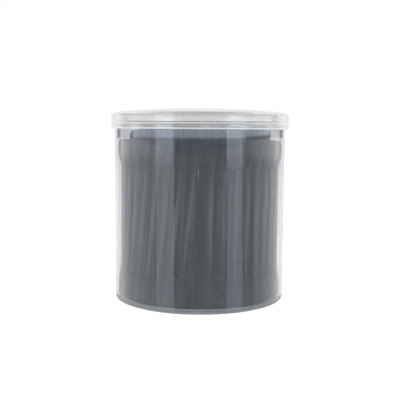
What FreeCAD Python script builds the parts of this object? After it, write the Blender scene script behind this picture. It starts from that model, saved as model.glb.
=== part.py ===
import FreeCAD, Part
import math
import os

# Cotton swab tub: a clear round tub with a clear push-on lid, packed with black double-ended swabs.
# Millimetres, +Z up. The origin is the centre of the foot ring that the tub stands on.
# The front is -Y.

# Tub
tub_height = 82.9
tub_mouth_diameter = 80.4
tub_base_diameter = 79.6
tub_wall = 1.25
tub_floor = 1.2
base_corner_round = 1.2
floor_corner_bevel = 0.7
foot_ring_width = 2.2
foot_recess = 0.4

# Snap bead round the outside of the rim, measured down from the rim
bead_depth = 0.3
bead_crest_drop = 0.5
bead_crest_height = 0.6
bead_slope_height = 0.5

# Lid, which takes its bore and its seat from the tub
lid_wall = 1.1
lid_running_gap = 0.25
lid_seat_gap = 0.3
lid_seat_drop = 2.8
lid_seat_overhang = 0.55
lid_skirt_height = 6.5
lid_step_depth = 0.2
lid_step_drop = 4.25
lid_rise = 3.0
lid_crown_radius = 440.0
lid_crown_flat_diameter = 28.0
lid_shoulder_radius = 9.0

# Swab: a stick with a wound head at both ends
swab_length = 73.0
swab_length_spread = 0.5
stick_diameter = 2.4
head_diameter = 5.0
head_length = 13.0
head_tip_length = 3.2
head_tip_flat = 2.2

# How the swabs stand
swab_gap = 0.34
ring_gap = 0.15
wall_gap = 0.15
floor_gap = 0.05
swab_shuffle = 0.03
uneven_step = 12.9898

# In the rings behind the outer swabs, every second swab is wedged higher between its neighbours,
# with its heads beside their tapers, so these swabs stand closer together than their heads are wide.
# The swabs in the middle have more room and stand on the floor.
raised_rings = 4
raised_swab_gap = -0.3
raised_height = 5.6
raised_height_spread = 0.9

# The swabs lean round the tub. The lean grows all the way round from one azimuth, and is less further in.
swirl_start_degrees = 277.0
least_swirl_degrees = 1.0
swirl_growth_degrees = 12.0
inner_swirl_share = 0.55

# The outer swabs, which show through the wall, have more sides than those behind them.
# Those behind them also come to a point.
outer_swab_sides = 6
inner_swab_sides = 4

# Sizes that follow from those above
mouth_radius = tub_mouth_diameter / 2
base_radius = tub_base_diameter / 2
floor_top = foot_recess + tub_floor
stick_radius = stick_diameter / 2
head_radius = head_diameter / 2
skirt_inner_radius = mouth_radius + bead_depth + lid_running_gap
skirt_outer_radius = skirt_inner_radius + lid_wall
rim_inner_radius = mouth_radius - tub_wall


def section_point(radius, height):
    """A point of a section, which lies in the plane of the X and Z axes."""
    return FreeCAD.Vector(radius, 0, height)


def circle_point(radius, azimuth, height):
    """A point at an azimuth round the Z axis."""
    return FreeCAD.Vector(radius * math.cos(azimuth), radius * math.sin(azimuth), height)


def arc_points(centre, radius, angles):
    """Points of a section on an arc, with the angles measured from straight up towards the outside."""
    return [centre + section_point(math.sin(angle), math.cos(angle)) * radius for angle in angles]


def section_edge(start, end):
    """A straight edge. A steep slanted one is a spline, which turns into a wall with far fewer facets."""
    steep = abs(end.z - start.z) > abs(end.x - start.x) > 0
    if not steep:
        return Part.LineSegment(start, end).toShape()
    spline = Part.BezierCurve()
    spline.setPoles([start, end])
    return spline.toShape()


def turned_solid(points):
    """The solid that a closed section makes when it is turned round the Z axis."""
    edges = [section_edge(start, end) for start, end in zip(points, points[1:] + points[:1])]
    face = Part.Face(Part.Wire(edges))
    return face.revolve(FreeCAD.Vector(0, 0, 0), FreeCAD.Vector(0, 0, 1), 360)


def wall_radius(height):
    """Outer radius of the drafted tub wall at a height."""
    return base_radius + (mouth_radius - base_radius) * height / tub_height


def tub_bead():
    """The bead's section, from its lower side up."""
    crest_top = tub_height - bead_crest_drop
    crest_bottom = crest_top - bead_crest_height
    wall_meeting = crest_bottom - bead_slope_height
    crest_radius = mouth_radius + bead_depth
    return [
        section_point(wall_radius(wall_meeting), wall_meeting),
        section_point(crest_radius, crest_bottom),
        section_point(crest_radius, crest_top),
    ]


def make_tub():
    corner_centre = section_point(base_radius - base_corner_round, base_corner_round)
    base_corner = arc_points(corner_centre, base_corner_round, (math.pi, 3 * math.pi / 4, math.pi / 2))
    foot_inner_radius = corner_centre.x - foot_ring_width
    floor_radius = wall_radius(floor_top) - tub_wall
    return turned_solid([
        section_point(0, foot_recess),
        section_point(foot_inner_radius - foot_recess, foot_recess),
        section_point(foot_inner_radius, 0),
        *base_corner,
        *tub_bead(),
        section_point(mouth_radius, tub_height),
        section_point(rim_inner_radius, tub_height),
        section_point(floor_radius, floor_top + floor_corner_bevel),
        section_point(floor_radius - floor_corner_bevel, floor_top),
        section_point(0, floor_top),
    ])


def make_lid():
    """The lid is drawn with its outer edge at height 0, then set down on the rim of the tub."""
    crown_centre = section_point(0, lid_rise - lid_crown_radius)
    edge = section_point(skirt_outer_radius, 0)

    # The shoulder arc meets the crown arc smoothly and ends at the lid's outer edge
    centre_distance = lid_crown_radius - lid_shoulder_radius
    edge_offset = edge - crown_centre
    edge_angle = math.atan2(edge_offset.x, edge_offset.z)
    turn_cosine = (centre_distance**2 + edge_offset.Length**2 - lid_shoulder_radius**2) / (
        2 * centre_distance * edge_offset.Length
    )
    meeting_angle = edge_angle - math.acos(turn_cosine)
    shoulder_centre = arc_points(crown_centre, centre_distance, [meeting_angle])[0]
    outer_end = math.atan2(edge.x - shoulder_centre.x, edge.z - shoulder_centre.z)
    outer_shoulder = arc_points(
        shoulder_centre, lid_shoulder_radius, ((meeting_angle + outer_end) / 2, outer_end)
    )

    # The middle of the crown is flat, and bands carry it down to the shoulder
    flat_angle = math.asin(lid_crown_flat_diameter / 2 / lid_crown_radius)
    crown_angles = (flat_angle, (flat_angle + meeting_angle) / 2, meeting_angle)
    outer_crown = arc_points(crown_centre, lid_crown_radius, crown_angles)

    # The underside follows the crown as far as the thick seat ring that rests on the rim
    seat_inner_radius = rim_inner_radius - lid_seat_overhang
    inner_crown_radius = lid_crown_radius - lid_wall
    seat_angle = math.asin(seat_inner_radius / inner_crown_radius)
    inner_crown = arc_points(crown_centre, inner_crown_radius, (flat_angle, seat_angle))

    # The lower part of the skirt steps in under the bead of the tub
    step_high = -lid_step_drop + lid_step_depth / 2
    step_low = -lid_step_drop - lid_step_depth / 2
    lower_outer_radius = skirt_outer_radius - lid_step_depth
    lower_inner_radius = skirt_inner_radius - lid_step_depth
    lid = turned_solid([
        section_point(0, outer_crown[0].z),
        *outer_crown,
        *outer_shoulder,
        section_point(skirt_outer_radius, step_high),
        section_point(lower_outer_radius, step_low),
        section_point(lower_outer_radius, -lid_skirt_height),
        section_point(lower_inner_radius, -lid_skirt_height),
        section_point(lower_inner_radius, step_low),
        section_point(skirt_inner_radius, step_high),
        section_point(skirt_inner_radius, -lid_seat_drop),
        section_point(seat_inner_radius, -lid_seat_drop),
        *reversed(inner_crown),
        section_point(0, inner_crown[0].z),
    ])
    lid.translate(FreeCAD.Vector(0, 0, tub_height + lid_seat_gap + lid_seat_drop))
    return lid


def faceted_solid(profile, sides):
    """A solid with flat sides round the Z axis, through the (radius, height) points of a profile."""
    rings = []
    for radius, height in profile:
        corner_count = sides if radius > 0 else 1
        angles = [2 * math.pi * corner / sides for corner in range(corner_count)]
        rings.append([circle_point(radius, angle, height) for angle in angles])
    outlines = [ring for ring in (rings[0], rings[-1]) if len(ring) > 1]
    for low, high in zip(rings, rings[1:]):
        for side in range(sides):
            after = (side + 1) % sides
            low_edge = [low[side], low[after]] if len(low) > 1 else low
            high_edge = [high[after], high[side]] if len(high) > 1 else high
            outlines.append(low_edge + high_edge)
    faces = [Part.Face(Part.makePolygon(outline + outline[:1])) for outline in outlines]
    return Part.Solid(Part.Shell(faces))


def swab_profile(length, tip_radius):
    """Half outline of a swab, from its lower tip up."""
    lower_head = [(tip_radius, 0), (head_radius, head_tip_length), (stick_radius, head_length)]
    upper_head = [(radius, length - height) for radius, height in reversed(lower_head)]
    return lower_head + upper_head


def uneven(number):
    """A value from -1 to 1 that looks random and is the same in every build."""
    return math.sin(number * uneven_step)


def rest_height(ring, place, number):
    """Height above the floor at which a swab stands or is wedged."""
    wedged = 0 < ring <= raised_rings and place % 2 == 1
    if not wedged:
        return floor_gap
    return raised_height + raised_height_spread * uneven(number)


def make_swab(ring, ring_inset, azimuth, turn, low_height, number):
    """An upright swab at an azimuth, with its top turned round the tub.

    Its corners point to the wall and to its neighbours in the ring.
    """
    sides = outer_swab_sides if ring == 0 else inner_swab_sides
    tip_radius = head_tip_flat / 2 if ring == 0 else 0
    length = swab_length + swab_length_spread * uneven(number)
    reach = wall_gap + head_radius + ring_inset
    bottom_radius = wall_radius(low_height) - tub_wall - reach
    top_radius = wall_radius(low_height + length) - tub_wall - reach
    bottom = circle_point(bottom_radius, azimuth, low_height)
    top = circle_point(top_radius, azimuth + turn, low_height)
    lean_run = (top - bottom).Length
    bottom.z += tip_radius * lean_run / length
    top.z = bottom.z + math.sqrt(length**2 - lean_run**2)
    swab = faceted_solid(swab_profile(length, tip_radius), sides)
    facing = FreeCAD.Rotation(FreeCAD.Vector(0, 0, 1), math.degrees(azimuth))
    lean = FreeCAD.Rotation(FreeCAD.Vector(0, 0, 1), top - bottom)
    swab.Placement = FreeCAD.Placement(bottom, lean * facing)
    return swab


def make_swab_rings():
    """The swabs, ring by ring from the wall inwards.

    The tops stand evenly round the ring. The lean grows from swab to swab, so the bottoms stand a
    little closer, which leaves a gap between the last and the first of them.
    """
    outer_radius = wall_radius(floor_top) - tub_wall - wall_gap - head_radius
    ring_pitch = head_diameter + ring_gap
    rings = []
    number = 0
    for ring in range(int(outer_radius / ring_pitch) + 1):
        ring_inset = ring * ring_pitch
        ring_radius = outer_radius - ring_inset
        share = 1 if ring == 0 else inner_swirl_share
        least_turn = math.radians(least_swirl_degrees) * share
        growth = math.radians(swirl_growth_degrees) * share
        wedged_ring = 0 < ring <= raised_rings
        swab_pitch = head_diameter + (raised_swab_gap if wedged_ring else swab_gap)
        count = max(int((2 * math.pi - growth) * ring_radius / swab_pitch), 1)
        if wedged_ring:
            count -= count % 2
        swabs = []
        for place in range(count):
            number += 1
            shuffle = swab_shuffle * uneven(number + 0.5) / max(ring_radius, head_radius)
            azimuth = math.radians(swirl_start_degrees) + (2 * math.pi - growth) * place / count + shuffle
            turn = least_turn + growth * place / count
            low_height = floor_top + rest_height(ring, place, number)
            swabs.append(make_swab(ring, ring_inset, azimuth, turn, low_height, number))
        rings.append(swabs)
    return rings


def save(name, shape):
    shape.exportStep(f"parts/{name}.step")


def save_swabs(rings):
    """The outer swabs are pieces of their own, and each ring behind them is one group."""
    for number, swab in enumerate(rings[0], start=1):
        save(f"swab_{number:02d}", swab)
    for ring, swabs in enumerate(rings[1:], start=2):
        save(f"swabs_ring_{ring}", Part.makeCompound(swabs))


os.makedirs("parts", exist_ok=True)
save("tub", make_tub())
save("lid", make_lid())
save_swabs(make_swab_rings())
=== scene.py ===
import math

import bmesh
import bpy
from mathutils import Euler, Matrix, Vector, noise


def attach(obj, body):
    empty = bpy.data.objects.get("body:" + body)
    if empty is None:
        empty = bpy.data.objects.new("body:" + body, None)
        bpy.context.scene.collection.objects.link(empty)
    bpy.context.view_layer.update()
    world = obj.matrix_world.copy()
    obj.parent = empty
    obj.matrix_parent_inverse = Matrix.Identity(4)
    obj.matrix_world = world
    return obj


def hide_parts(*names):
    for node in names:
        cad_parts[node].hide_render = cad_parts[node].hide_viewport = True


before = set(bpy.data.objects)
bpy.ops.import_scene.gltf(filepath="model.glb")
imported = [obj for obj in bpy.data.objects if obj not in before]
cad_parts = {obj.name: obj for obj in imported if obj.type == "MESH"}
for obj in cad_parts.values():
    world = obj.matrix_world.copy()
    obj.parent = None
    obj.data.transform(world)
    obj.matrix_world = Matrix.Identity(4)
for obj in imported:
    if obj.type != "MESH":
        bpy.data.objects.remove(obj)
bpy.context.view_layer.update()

# Camera, in metres, degrees and pixels of the 400 pixel frame
camera_distance = 0.3496
camera_height = 0.0805
camera_tilt = 3.63
camera_roll = -0.4
focal_pixels = 734.7
frame_pixels = 400.0
horizon_pixel = 126.7
axis_pixel = 200.0
sensor_width = 36.0

# Floor and world, in metres and plain strengths, where 1 is white
floor_size = 40.0
floor_drop = 0.0002
floor_glow = 0.75
floor_colour = (0.9, 0.9, 0.9)
# Painted shade: the floor's colour under the tub, inside the glow's edge, darkened to stand for the swabs'
# shade
painted_floor_shade_colour = (0.15, 0.16, 0.17)
glow_edge_radius = 0.0376
glow_edge_width = 0.0015
# Painted shade under the tub's base: a grey glowing disc just below the floor, which only the tub's
# reflections show
base_shade_radius = 0.0412
base_shade_drop = 0.0004
base_shade_colour = (0.60, 0.62, 0.65)
world_light = 0.35

# Lights, in metres and in degrees from the front
softbox_azimuth = 49.0
softbox_distance = 1.0
softbox_size = (0.5, 1.3)
softbox_radiance = 1.6
side_panel_azimuth = 100.0
side_panel_distance = 1.3
side_panel_size = (1.6, 1.4)
side_panel_radiance = 1.0
standing_height = 0.3
top_size = (0.5, 0.5)
top_height = 0.8
top_power = 0.6
aim_height = 0.045

# Painted reflections: glowing cards that only mirrors and refraction show, upright at these distances from
# the tub's axis
mirror_radius = 0.0402
mirror_lean = 0.0048
fill_distance = 1.59
softbox_card_distance = 1.60
room_distance = 1.61
# Distance of the cards for the painted dark reflections
dark_card_distance = 1.80
bright_band_distance = 1.81
panel_distance = 1.82

# Brightness of the cards, where 1 is white
left_softbox_colour = (1.45, 1.5, 1.55)
right_softbox_colour = (1.25, 1.35, 1.45)
room_colour = (0.37, 0.37, 0.38)
fill_colour = (0.38, 0.38, 0.40)
panel_colour = (1.4, 1.4, 1.4)
# Painted reflection of a bright bluish band along the top of the tub
painted_bright_band_colour = (2.9, 3.1, 3.4)
# Painted dark reflection at the tub's upper corners
corner_colour = (0.12, 0.13, 0.14)
# Painted reflection: a band darker than the white surround, below the bright band and deepest in the middle
painted_dark_band_colour = (0.60, 0.66, 0.72)

# Outlines of the cards, as (column, top row, bottom row) in pixels of the frame, where the tub shows them
left_softbox_outline = ((156, 104, 320), (174, 104, 320))
right_softbox_outline = ((227, 104, 320), (243, 104, 320))
room_outline = ((120, 104, 320), (280, 104, 320))
fill_outline = ((133, 138, 320), (158, 138, 320))
left_panel_outline = ((121, 138, 320), (155, 138, 320))
right_panel_outline = ((254, 138, 320), (279, 138, 320))
# Painted reflection: a bright band along the top of the tub
painted_bright_band_outline = ((133, 121, 137), (160, 121, 138), (240, 121, 138), (262, 121, 137), (270, 121, 134))
# Painted dark reflections at the tub's upper left and right corners
left_corner_outline = ((117, 128, 138), (129, 128, 138))
right_corner_outline = ((271, 128, 138), (283, 128, 138))
# Painted reflection: a darker band below the bright one, reaching lowest in the middle
painted_dark_band_outline = (
    (134, 138, 139),
    (150, 138, 144),
    (160, 138, 146),
    (170, 138, 155),
    (222, 138, 155),
    (224, 138, 151),
    (239, 138, 150),
    (242, 138, 139),
    (246, 137, 139),
    (255, 136, 141),
    (268, 135, 139),
    (277, 133, 134),
)
outline_step = 2

# Plastics: how much light gets through to the swabs, how fast it fades on its way through the plastic,
# and how flat the view must be, from 0 straight on to 1 along the surface, for the lid to mirror the room
refraction = 1.5
shadow_tint = (0.9, 0.9, 0.9)
fading = 40.0
first_mirrored = 0.5
fully_mirrored = 0.75

# How much light each plastic lets through, and the bands of painted highlight, where it lets less through
# and so shows
# lighter: lowest and highest height and least radius, in metres, and the share that they take
tub_clearness = 1.0
lid_clearness = 0.9
# Painted highlights: the tub's base ring and rim, the lid's lower edge and the line at its rim
tub_highlight_bands = ((-0.0001, 0.0021, 0.0378, 0.3), (0.0826, 0.0830, 0, 0.2))
lid_highlight_bands = ((0.0794, 0.0801, 0, 0.85), (0.0820, 0.0824, 0, 0.85))

# Swabs, in metres
stick_radius = 0.0012
stick_start = 0.0117
head_radius = 0.0025
head_length = 0.013
tip_length = 0.0032
tip_roundness = 2.4
least_tip_radius = 0.0002
taper_start = 0.0055
cotton_over_stick = 1.03
fluff_depth = 0.00010
fluff_size = 0.0011
fluff_shift = (7.13, 3.71, 1.37)
weld_distance = 0.000002
upper_head_shift = 0.5

# Where in a texture the darker colour of a swab ends and the paler one begins
dark_until = 0.35
pale_from = 0.65

# Sides of a swab and rings of a head, next to the wall and inside, and how the rings crowd toward the tip
wall_detail = (20, 16)
inner_detail = (14, 10)
ring_crowding = 1.5


def shader_material(name):
    """A new material with its node tree, its Principled shader and its output."""
    material = bpy.data.materials.new(name)
    material.use_nodes = True
    nodes = material.node_tree.nodes
    return material, nodes, material.node_tree.links, nodes["Principled BSDF"], nodes["Material Output"]


def noise_texture(nodes, links, scale, stretch, detail):
    """A noise texture in object coordinates, with its stretch along each axis."""
    coordinates = nodes.new("ShaderNodeTexCoord")
    mapping = nodes.new("ShaderNodeMapping")
    mapping.inputs["Scale"].default_value = stretch
    texture = nodes.new("ShaderNodeTexNoise")
    texture.inputs["Scale"].default_value = scale
    texture.inputs["Detail"].default_value = detail
    links.new(coordinates.outputs["Object"], mapping.inputs["Vector"])
    links.new(mapping.outputs["Vector"], texture.inputs["Vector"])
    return texture


def add_bump(nodes, links, shader, texture, strength, distance):
    bump = nodes.new("ShaderNodeBump")
    bump.inputs["Strength"].default_value = strength
    bump.inputs["Distance"].default_value = distance
    links.new(texture.outputs["Fac"], bump.inputs["Height"])
    links.new(bump.outputs["Normal"], shader.inputs["Normal"])


def colour_between(nodes, links, shader, texture, low, high):
    """Base colour that wanders between two colours with a texture."""
    ramp = nodes.new("ShaderNodeValToRGB")
    ramp.color_ramp.elements[0].position = dark_until
    ramp.color_ramp.elements[0].color = (*low, 1)
    ramp.color_ramp.elements[1].position = pale_from
    ramp.color_ramp.elements[1].color = (*high, 1)
    links.new(texture.outputs["Fac"], ramp.inputs["Fac"])
    links.new(ramp.outputs["Color"], shader.inputs["Base Color"])


def math_node(nodes, links, operation, first, second, third=0.0):
    """What a math node makes of plain numbers or of the outputs of other nodes."""
    node = nodes.new("ShaderNodeMath")
    node.operation = operation
    for place, value in zip(node.inputs, (first, second, third)):
        if isinstance(value, (int, float)):
            place.default_value = value
        else:
            links.new(value, place)
    return node.outputs[0]


def distance_from_axis(nodes, links, coordinates):
    flat = nodes.new("ShaderNodeVectorMath")
    flat.operation = "MULTIPLY"
    flat.inputs[1].default_value = (1, 1, 0)
    length = nodes.new("ShaderNodeVectorMath")
    length.operation = "LENGTH"
    links.new(coordinates, flat.inputs[0])
    links.new(flat.outputs[0], length.inputs[0])
    return length.outputs["Value"]


def seen_ray(nodes, links):
    """1 for a camera, glossy or transmission ray, and 0 for any other."""
    rays = nodes.new("ShaderNodeLightPath").outputs
    mirrored = math_node(nodes, links, "MAXIMUM", rays["Is Camera Ray"], rays["Is Glossy Ray"])
    return math_node(nodes, links, "MAXIMUM", mirrored, rays["Is Transmission Ray"])


def let_shadow_rays_pass(nodes, links, surface, output):
    """Light reaches the swabs through the plastic, which a refracting shader alone would block."""
    light_path = nodes.new("ShaderNodeLightPath")
    clear = nodes.new("ShaderNodeBsdfTransparent")
    clear.inputs["Color"].default_value = (*shadow_tint, 1)
    mix = nodes.new("ShaderNodeMixShader")
    links.new(light_path.outputs["Is Shadow Ray"], mix.inputs["Fac"])
    links.new(surface, mix.inputs[1])
    links.new(clear.outputs["BSDF"], mix.inputs[2])
    links.new(mix.outputs["Shader"], output.inputs["Surface"])


def darken_with_depth(nodes, links, output, colour):
    """The plastic takes a little light over its thickness, and much of it where light runs along it."""
    absorption = nodes.new("ShaderNodeVolumeAbsorption")
    absorption.inputs["Color"].default_value = (*colour, 1)
    absorption.inputs["Density"].default_value = fading
    links.new(absorption.outputs[0], output.inputs["Volume"])


def paint_highlight_bands(nodes, links, shader, clearness, bands):
    """Painted highlights on moulded edges: in each band the plastic lets less light through than elsewhere,
    so it shows lighter.
    """
    coordinates = nodes.new("ShaderNodeTexCoord").outputs["Object"]
    parts = nodes.new("ShaderNodeSeparateXYZ")
    links.new(coordinates, parts.inputs[0])
    radius = distance_from_axis(nodes, links, coordinates)
    left = clearness
    for low, high, least_radius, share in bands:
        middle = (low + high) / 2
        reach = (high - low) / 2
        level = math_node(nodes, links, "COMPARE", parts.outputs["Z"], middle, reach)
        outside = math_node(nodes, links, "GREATER_THAN", radius, least_radius)
        inside = math_node(nodes, links, "MULTIPLY", level, outside)
        taken = math_node(nodes, links, "MULTIPLY", inside, share)
        left = math_node(nodes, links, "SUBTRACT", left, taken)
    links.new(left, shader.inputs["Transmission Weight"])


def mirror_at_flat_view(nodes, links, surface, colour):
    """Seen along its surface, hazy plastic mirrors the pale room instead of showing what is inside."""
    layer = nodes.new("ShaderNodeLayerWeight")
    layer.inputs["Blend"].default_value = 0.5
    flatness = nodes.new("ShaderNodeMapRange")
    flatness.inputs["From Min"].default_value = first_mirrored
    flatness.inputs["From Max"].default_value = fully_mirrored
    gloss = nodes.new("ShaderNodeBsdfGlossy")
    gloss.inputs["Color"].default_value = (*colour, 1)
    gloss.inputs["Roughness"].default_value = 0.3
    mix = nodes.new("ShaderNodeMixShader")
    links.new(layer.outputs["Facing"], flatness.inputs["Value"])
    links.new(flatness.outputs["Result"], mix.inputs["Fac"])
    links.new(surface, mix.inputs[1])
    links.new(gloss.outputs[0], mix.inputs[2])
    return mix.outputs[0]


def clear_plastic():
    """The tub: clear and a little blue, with the slow waves of moulding in its gloss."""
    material, nodes, links, shader, output = shader_material("clear_plastic")
    shader.inputs["Base Color"].default_value = (0.66, 0.67, 0.69, 1)
    shader.inputs["Roughness"].default_value = 0.03
    shader.inputs["Specular Tint"].default_value = (0.86, 0.95, 1.0, 1)
    shader.inputs["IOR"].default_value = refraction
    waves = noise_texture(nodes, links, scale=60.0, stretch=(1, 1, 0.25), detail=2.0)
    add_bump(nodes, links, shader, waves, strength=0.12, distance=0.0002)
    let_shadow_rays_pass(nodes, links, shader.outputs[0], output)
    darken_with_depth(nodes, links, output, (0.62, 0.65, 0.68))
    # Painted highlights in bands on the tub's moulded edges
    paint_highlight_bands(nodes, links, shader, tub_clearness, tub_highlight_bands)
    return material


def hazy_plastic():
    """The lid: clear with a slight haze, so that the white surround does not swallow it."""
    material, nodes, links, shader, output = shader_material("hazy_plastic")
    shader.inputs["Base Color"].default_value = (0.84, 0.84, 0.835, 1)
    shader.inputs["Roughness"].default_value = 0.08
    shader.inputs["IOR"].default_value = refraction
    grain = noise_texture(nodes, links, scale=300.0, stretch=(1, 1, 1), detail=3.0)
    add_bump(nodes, links, shader, grain, strength=0.08, distance=0.0001)
    surface = mirror_at_flat_view(nodes, links, shader.outputs[0], (0.82, 0.82, 0.82))
    let_shadow_rays_pass(nodes, links, surface, output)
    darken_with_depth(nodes, links, output, (0.70, 0.70, 0.69))
    # Painted highlights in bands on the lid's moulded edges
    paint_highlight_bands(nodes, links, shader, lid_clearness, lid_highlight_bands)
    return material


def black_stick():
    """The sticks: black plastic with fine streaks along them."""
    material, nodes, links, shader, output = shader_material("black_stick")
    shader.inputs["Roughness"].default_value = 0.35
    shader.inputs["Specular IOR Level"].default_value = 0.7
    streaks = noise_texture(nodes, links, scale=900.0, stretch=(1, 1, 0.05), detail=3.0)
    colour_between(nodes, links, shader, streaks, (0.018, 0.020, 0.024), (0.050, 0.049, 0.050))
    add_bump(nodes, links, shader, streaks, strength=0.25, distance=0.0001)
    return material


def black_cotton():
    """The heads: wound black cotton, matt, with fine fibres."""
    material, nodes, links, shader, output = shader_material("black_cotton")
    shader.inputs["Roughness"].default_value = 0.95
    shader.inputs["Specular IOR Level"].default_value = 0.15
    shader.inputs["Sheen Weight"].default_value = 0.08
    shader.inputs["Sheen Roughness"].default_value = 0.5
    fibres = noise_texture(nodes, links, scale=1500.0, stretch=(1, 1, 0.4), detail=6.0)
    colour_between(nodes, links, shader, fibres, (0.014, 0.016, 0.019), (0.044, 0.046, 0.051))
    add_bump(nodes, links, shader, fibres, strength=0.8, distance=0.0003)
    return material


def swab_ends(node):
    """The two tips of each swab in a CAD node, lower tip first."""
    mesh = bmesh.new()
    mesh.from_mesh(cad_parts[node].data)
    bmesh.ops.remove_doubles(mesh, verts=mesh.verts, dist=weld_distance)
    ends = []
    waiting = set(mesh.verts)
    while waiting:
        swab = grow(waiting.pop(), waiting)
        middle = sum(point.z for point in swab) / len(swab)
        lower = mean_point([point for point in swab if point.z < middle])
        upper = mean_point([point for point in swab if point.z >= middle])
        centre = (lower + upper) / 2
        direction = (upper - lower).normalized()
        reach = max((point - centre).dot(direction) for point in swab)
        ends.append((centre - direction * reach, centre + direction * reach))
    mesh.free()
    return sorted(ends, key=lambda pair: tuple(pair[0]))


def grow(vertex, waiting):
    """Places of all vertices that hang together with one vertex."""
    found = [vertex]
    for current in found:
        for edge in current.link_edges:
            other = edge.other_vert(current)
            if other in waiting:
                waiting.discard(other)
                found.append(other)
    return [one.co.copy() for one in found]


def mean_point(points):
    return sum(points, Vector()) / len(points)


def head_radius_at(distance):
    """Radius of a wound head at a distance from its tip: a round tip, a full waist and a long taper."""
    if distance < tip_length:
        share = distance / tip_length
        return head_radius * (1 - (1 - share) ** tip_roundness) ** 0.5
    if distance < taper_start:
        return head_radius
    share = (distance - taper_start) / (head_length - taper_start)
    smooth = share * share * (3 - 2 * share)
    return head_radius + (stick_radius * cotton_over_stick - head_radius) * smooth


def add_tube(mesh, profile, sides, place, seed, rough, material_index):
    """A closed tube through (radius, height) points, roughened by noise, and placed by a matrix."""
    rings = []
    for radius, height in profile:
        ring = []
        for side in range(sides):
            angle = 2 * math.pi * side / sides
            outward = Vector((math.cos(angle), math.sin(angle), 0))
            point = Vector((radius * math.cos(angle), radius * math.sin(angle), height))
            if rough > 0:
                spot = point / fluff_size + Vector([seed * shift for shift in fluff_shift])
                point += outward * noise.noise(spot) * rough
            ring.append(mesh.verts.new(place @ point))
        rings.append(ring)
    faces = [list(reversed(rings[0])), rings[-1]]
    for low, high in zip(rings, rings[1:]):
        for side in range(sides):
            after = (side + 1) % sides
            faces.append((low[side], low[after], high[after], high[side]))
    for corners in faces:
        face = mesh.faces.new(corners)
        face.material_index = material_index
        face.smooth = True


def add_swab(mesh, bottom, top, detail, seed):
    """A stick between two tips, with a wound head over each of its ends."""
    sides, rings = detail
    axis = top - bottom
    length = axis.length
    turn = axis.to_track_quat("Z", "Y").to_matrix().to_4x4()
    place = Matrix.Translation(bottom) @ turn
    stick = [(stick_radius, stick_start), (stick_radius, length - stick_start)]
    add_tube(mesh, stick, sides, place, seed, 0, 0)
    lower = []
    for ring in range(rings + 1):
        distance = head_length * (ring / rings) ** ring_crowding
        lower.append((max(head_radius_at(distance), least_tip_radius), distance))
    upper = [(radius, length - height) for radius, height in reversed(lower)]
    add_tube(mesh, lower, sides, place, seed, fluff_depth, 1)
    add_tube(mesh, upper, sides, place, seed + upper_head_shift, fluff_depth, 1)


def make_swabs(materials):
    """Each CAD swab, or group of swabs, is replaced by one with round sticks and fluffy heads."""
    swab_nodes = sorted(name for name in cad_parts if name.startswith("swab"))
    seed = 0
    for node in swab_nodes:
        detail = inner_detail if "ring" in node else wall_detail
        mesh = bmesh.new()
        for bottom, top in swab_ends(node):
            seed += 1
            add_swab(mesh, bottom, top, detail, seed)
        piece = linked_object(node + "_wound", mesh)
        for material in materials:
            piece.data.materials.append(material)
        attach(piece, "tub")
        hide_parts(node)


def linked_object(name, mesh):
    """A new object in the scene from a mesh that is still being edited."""
    data = bpy.data.meshes.new(name)
    mesh.to_mesh(data)
    mesh.free()
    piece = bpy.data.objects.new(name, data)
    bpy.context.scene.collection.objects.link(piece)
    return piece


def give_material(node, material):
    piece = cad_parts[node]
    piece.data.materials.clear()
    piece.data.materials.append(material)


def make_floor():
    """A pale floor that the camera sees as white, apart from under the tub, where its colour is darkened and
    its glow left off as painted shade of the swabs.
    """
    bpy.ops.mesh.primitive_plane_add(size=floor_size, location=(0, 0, -floor_drop))
    floor = bpy.context.object
    floor.name = "floor"
    material, nodes, links, shader, output = shader_material("floor")
    shader.inputs["Roughness"].default_value = 0.9
    shader.inputs["Specular IOR Level"].default_value = 0.0
    coordinates = nodes.new("ShaderNodeTexCoord").outputs["Object"]
    outside = nodes.new("ShaderNodeMapRange")
    outside.inputs["From Min"].default_value = glow_edge_radius
    outside.inputs["From Max"].default_value = glow_edge_radius + glow_edge_width
    links.new(distance_from_axis(nodes, links, coordinates), outside.inputs["Value"])
    # Painted shade: inside the glow's edge the floor takes the darker painted shade colour
    shaded = nodes.new("ShaderNodeMixRGB")
    shaded.inputs["Color1"].default_value = (*painted_floor_shade_colour, 1)
    shaded.inputs["Color2"].default_value = (*floor_colour, 1)
    links.new(outside.outputs["Result"], shaded.inputs["Fac"])
    links.new(shaded.outputs["Color"], shader.inputs["Base Color"])
    seen_outside = math_node(nodes, links, "MULTIPLY", seen_ray(nodes, links), outside.outputs["Result"])
    strength = math_node(nodes, links, "MULTIPLY", seen_outside, floor_glow)
    glow = nodes.new("ShaderNodeEmission")
    both = nodes.new("ShaderNodeAddShader")
    links.new(strength, glow.inputs["Strength"])
    links.new(shader.outputs[0], both.inputs[0])
    links.new(glow.outputs[0], both.inputs[1])
    links.new(both.outputs[0], output.inputs["Surface"])
    floor.data.materials.append(material)
    floor.visible_glossy = False


def mirrored_place(column, row, distance):
    """The place at a distance from the axis that the front of the tub mirrors at a pixel of the frame."""
    tilt = math.radians(camera_tilt)
    axis_row = horizon_pixel + focal_pixels * math.tan(tilt)
    sight = Vector(((column - axis_pixel) / focal_pixels, (axis_row - row) / focal_pixels, -1))
    sight.rotate(Euler((math.pi / 2 - tilt, math.radians(camera_roll), 0)))
    touch = reach_cylinder(Vector((0, -camera_distance, camera_height)), sight, mirror_radius, -1)
    normal = Vector((touch.x, touch.y, -mirror_lean * mirror_radius)).normalized()
    mirrored = sight - 2 * sight.dot(normal) * normal
    return reach_cylinder(touch, mirrored, distance, 1)


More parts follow.
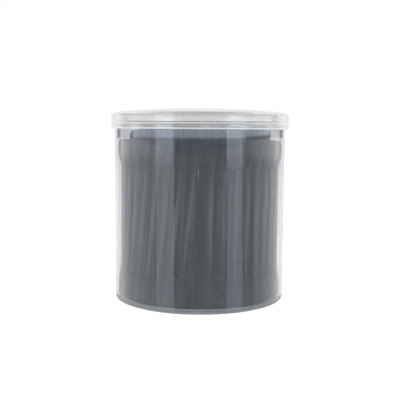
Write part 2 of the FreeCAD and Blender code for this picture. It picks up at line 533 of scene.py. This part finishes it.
def reach_cylinder(start, direction, radius, side):
    """Where a line meets an upright cylinder about the axis: side is -1 for the near wall, 1 for the far."""
    square = direction.x**2 + direction.y**2
    cross = start.x * direction.x + start.y * direction.y
    rest = start.x**2 + start.y**2 - radius**2
    along = (-cross + side * math.sqrt(max(cross**2 - square * rest, 0))) / square
    return start + direction * along


def finer_outline(outline):
    """The columns of a card's outline, with others between them, so that the card bends like the wall."""
    for first, second in zip(outline, outline[1:]):
        steps = max(math.ceil((second[0] - first[0]) / outline_step), 1)
        for step in range(steps):
            yield [low + (high - low) * step / steps for low, high in zip(first, second)]
    yield list(outline[-1])


def make_card(name, outline, distance, colour, adds):
    """An upright glowing card, a painted reflection, which replaces what is behind it in a mirror, or is
    added to it.
    """
    mesh = bmesh.new()
    pairs = []
    for column, top, bottom in finer_outline(outline):
        high = mesh.verts.new(mirrored_place(column, top, distance))
        low = mesh.verts.new(mirrored_place(column, bottom, distance))
        pairs.append((low, high))
    for near, far in zip(pairs, pairs[1:]):
        mesh.faces.new((near[0], far[0], far[1], near[1]))
    show_in_mirrors_only(linked_object(name, mesh), colour, adds)


def show_in_mirrors_only(piece, colour, adds):
    """A painted reflection: glows in what mirrors or refracts it. Neither the camera nor any other surface
    gets light from it.
    """
    material = bpy.data.materials.new(piece.name)
    material.use_nodes = True
    material.cycles.emission_sampling = "NONE"
    nodes = material.node_tree.nodes
    links = material.node_tree.links
    surface = nodes["Material Output"].inputs["Surface"]
    nodes.remove(nodes["Principled BSDF"])
    glow = nodes.new("ShaderNodeEmission")
    glow.inputs["Color"].default_value = (*colour, 1)
    if adds:
        both = nodes.new("ShaderNodeAddShader")
        links.new(nodes.new("ShaderNodeBsdfTransparent").outputs[0], both.inputs[0])
        links.new(glow.outputs[0], both.inputs[1])
        links.new(both.outputs[0], surface)
    else:
        links.new(glow.outputs[0], surface)
    piece.data.materials.append(material)
    piece.visible_camera = False
    piece.visible_diffuse = False
    piece.visible_shadow = False


def make_mirrored_room():
    """Painted reflections that the clear wall of the tub mirrors: the softboxes, side panels, room and fill,
    a bright band along its top, dark upper corners, a darker band below, and painted shade under the base.
    """
    make_card("left_softbox_card", left_softbox_outline, softbox_card_distance, left_softbox_colour, True)
    make_card("right_softbox_card", right_softbox_outline, softbox_card_distance, right_softbox_colour, True)
    make_card("room_card", room_outline, room_distance, room_colour, True)
    make_card("left_fill_card", fill_outline, fill_distance, fill_colour, True)
    make_card("left_panel_card", left_panel_outline, panel_distance, panel_colour, False)
    make_card("right_panel_card", right_panel_outline, panel_distance, panel_colour, False)
    # Painted reflection of a bright bluish band along the top of the tub
    make_card("painted_bright_band_card", painted_bright_band_outline, bright_band_distance, painted_bright_band_colour, False)
    # Painted dark reflections at the tub's upper corners
    make_card("left_corner_card", left_corner_outline, dark_card_distance, corner_colour, False)
    make_card("right_corner_card", right_corner_outline, dark_card_distance, corner_colour, False)
    # Painted reflection: a darker band below the bright one
    make_card("painted_dark_band_card", painted_dark_band_outline, dark_card_distance, painted_dark_band_colour, False)
    # Painted shade under the base, which only mirrors show
    place = (0, 0, -base_shade_drop)
    bpy.ops.mesh.primitive_circle_add(radius=base_shade_radius, fill_type="NGON", location=place)
    shade = bpy.context.object
    shade.name = "base_shade"
    show_in_mirrors_only(shade, base_shade_colour, False)


def make_world():
    """White to the eye and in reflections, and a softer light on the object."""
    world = bpy.data.worlds.new("studio")
    bpy.context.scene.world = world
    world.use_nodes = True
    nodes = world.node_tree.nodes
    links = world.node_tree.links
    background = nodes["Background"]
    background.inputs["Color"].default_value = (1, 1, 1, 1)
    strength = nodes.new("ShaderNodeMapRange")
    strength.inputs["To Min"].default_value = world_light
    strength.inputs["To Max"].default_value = 1.0
    links.new(seen_ray(nodes, links), strength.inputs["Value"])
    links.new(strength.outputs["Result"], background.inputs["Strength"])


def area_light(name, place, size, power):
    """A soft light that lights what it reaches, and shows neither to the camera nor in reflections."""
    light = bpy.data.lights.new(name, "AREA")
    light.shape = "RECTANGLE"
    light.size, light.size_y = size
    light.energy = power
    lamp = bpy.data.objects.new(name, light)
    bpy.context.scene.collection.objects.link(lamp)
    lamp.location = place
    aim = Vector((0, 0, aim_height)) - Vector(place)
    lamp.rotation_euler = aim.to_track_quat("-Z", "Y").to_euler()
    lamp.visible_camera = False
    lamp.visible_glossy = False


def standing_light(name, azimuth, distance, size, radiance):
    """A tall light on the floor, at an azimuth from the front, with the brightness of its face given."""
    turn = math.radians(azimuth)
    place = Vector((math.sin(turn), -math.cos(turn), 0)) * distance
    place.z = standing_height
    area_light(name, place, size, radiance * math.pi * size[0] * size[1])


def make_lights():
    """Two tall softboxes, wide panels beside the tub and a top light."""
    softbox = (softbox_distance, softbox_size, softbox_radiance)
    panel = (side_panel_distance, side_panel_size, side_panel_radiance)
    for side, name in ((-1, "left"), (1, "right")):
        standing_light(name + "_softbox", side * softbox_azimuth, *softbox)
        standing_light(name + "_panel", side * side_panel_azimuth, *panel)
    area_light("top_softbox", (0, 0, top_height), top_size, top_power)


def make_camera():
    """Level with the lid, tilted down a little, with the rest of the framing as shift."""
    camera = bpy.data.cameras.new("camera")
    camera.sensor_width = sensor_width
    camera.lens = focal_pixels / frame_pixels * sensor_width
    tilt = math.radians(camera_tilt)
    raised = frame_pixels / 2 - horizon_pixel
    camera.shift_y = (focal_pixels * math.tan(tilt) - raised) / frame_pixels
    camera.shift_x = (frame_pixels / 2 - axis_pixel) / frame_pixels
    viewer = bpy.data.objects.new("camera", camera)
    bpy.context.scene.collection.objects.link(viewer)
    viewer.location = (0, -camera_distance, camera_height)
    viewer.rotation_euler = (math.pi / 2 - tilt, math.radians(camera_roll), 0)
    bpy.context.scene.camera = viewer


make_camera()
make_world()
make_lights()
make_floor()
make_mirrored_room()
give_material("tub", clear_plastic())
give_material("lid", hazy_plastic())
make_swabs([black_stick(), black_cotton()])
bpy.context.scene.view_settings.view_transform = "Standard"
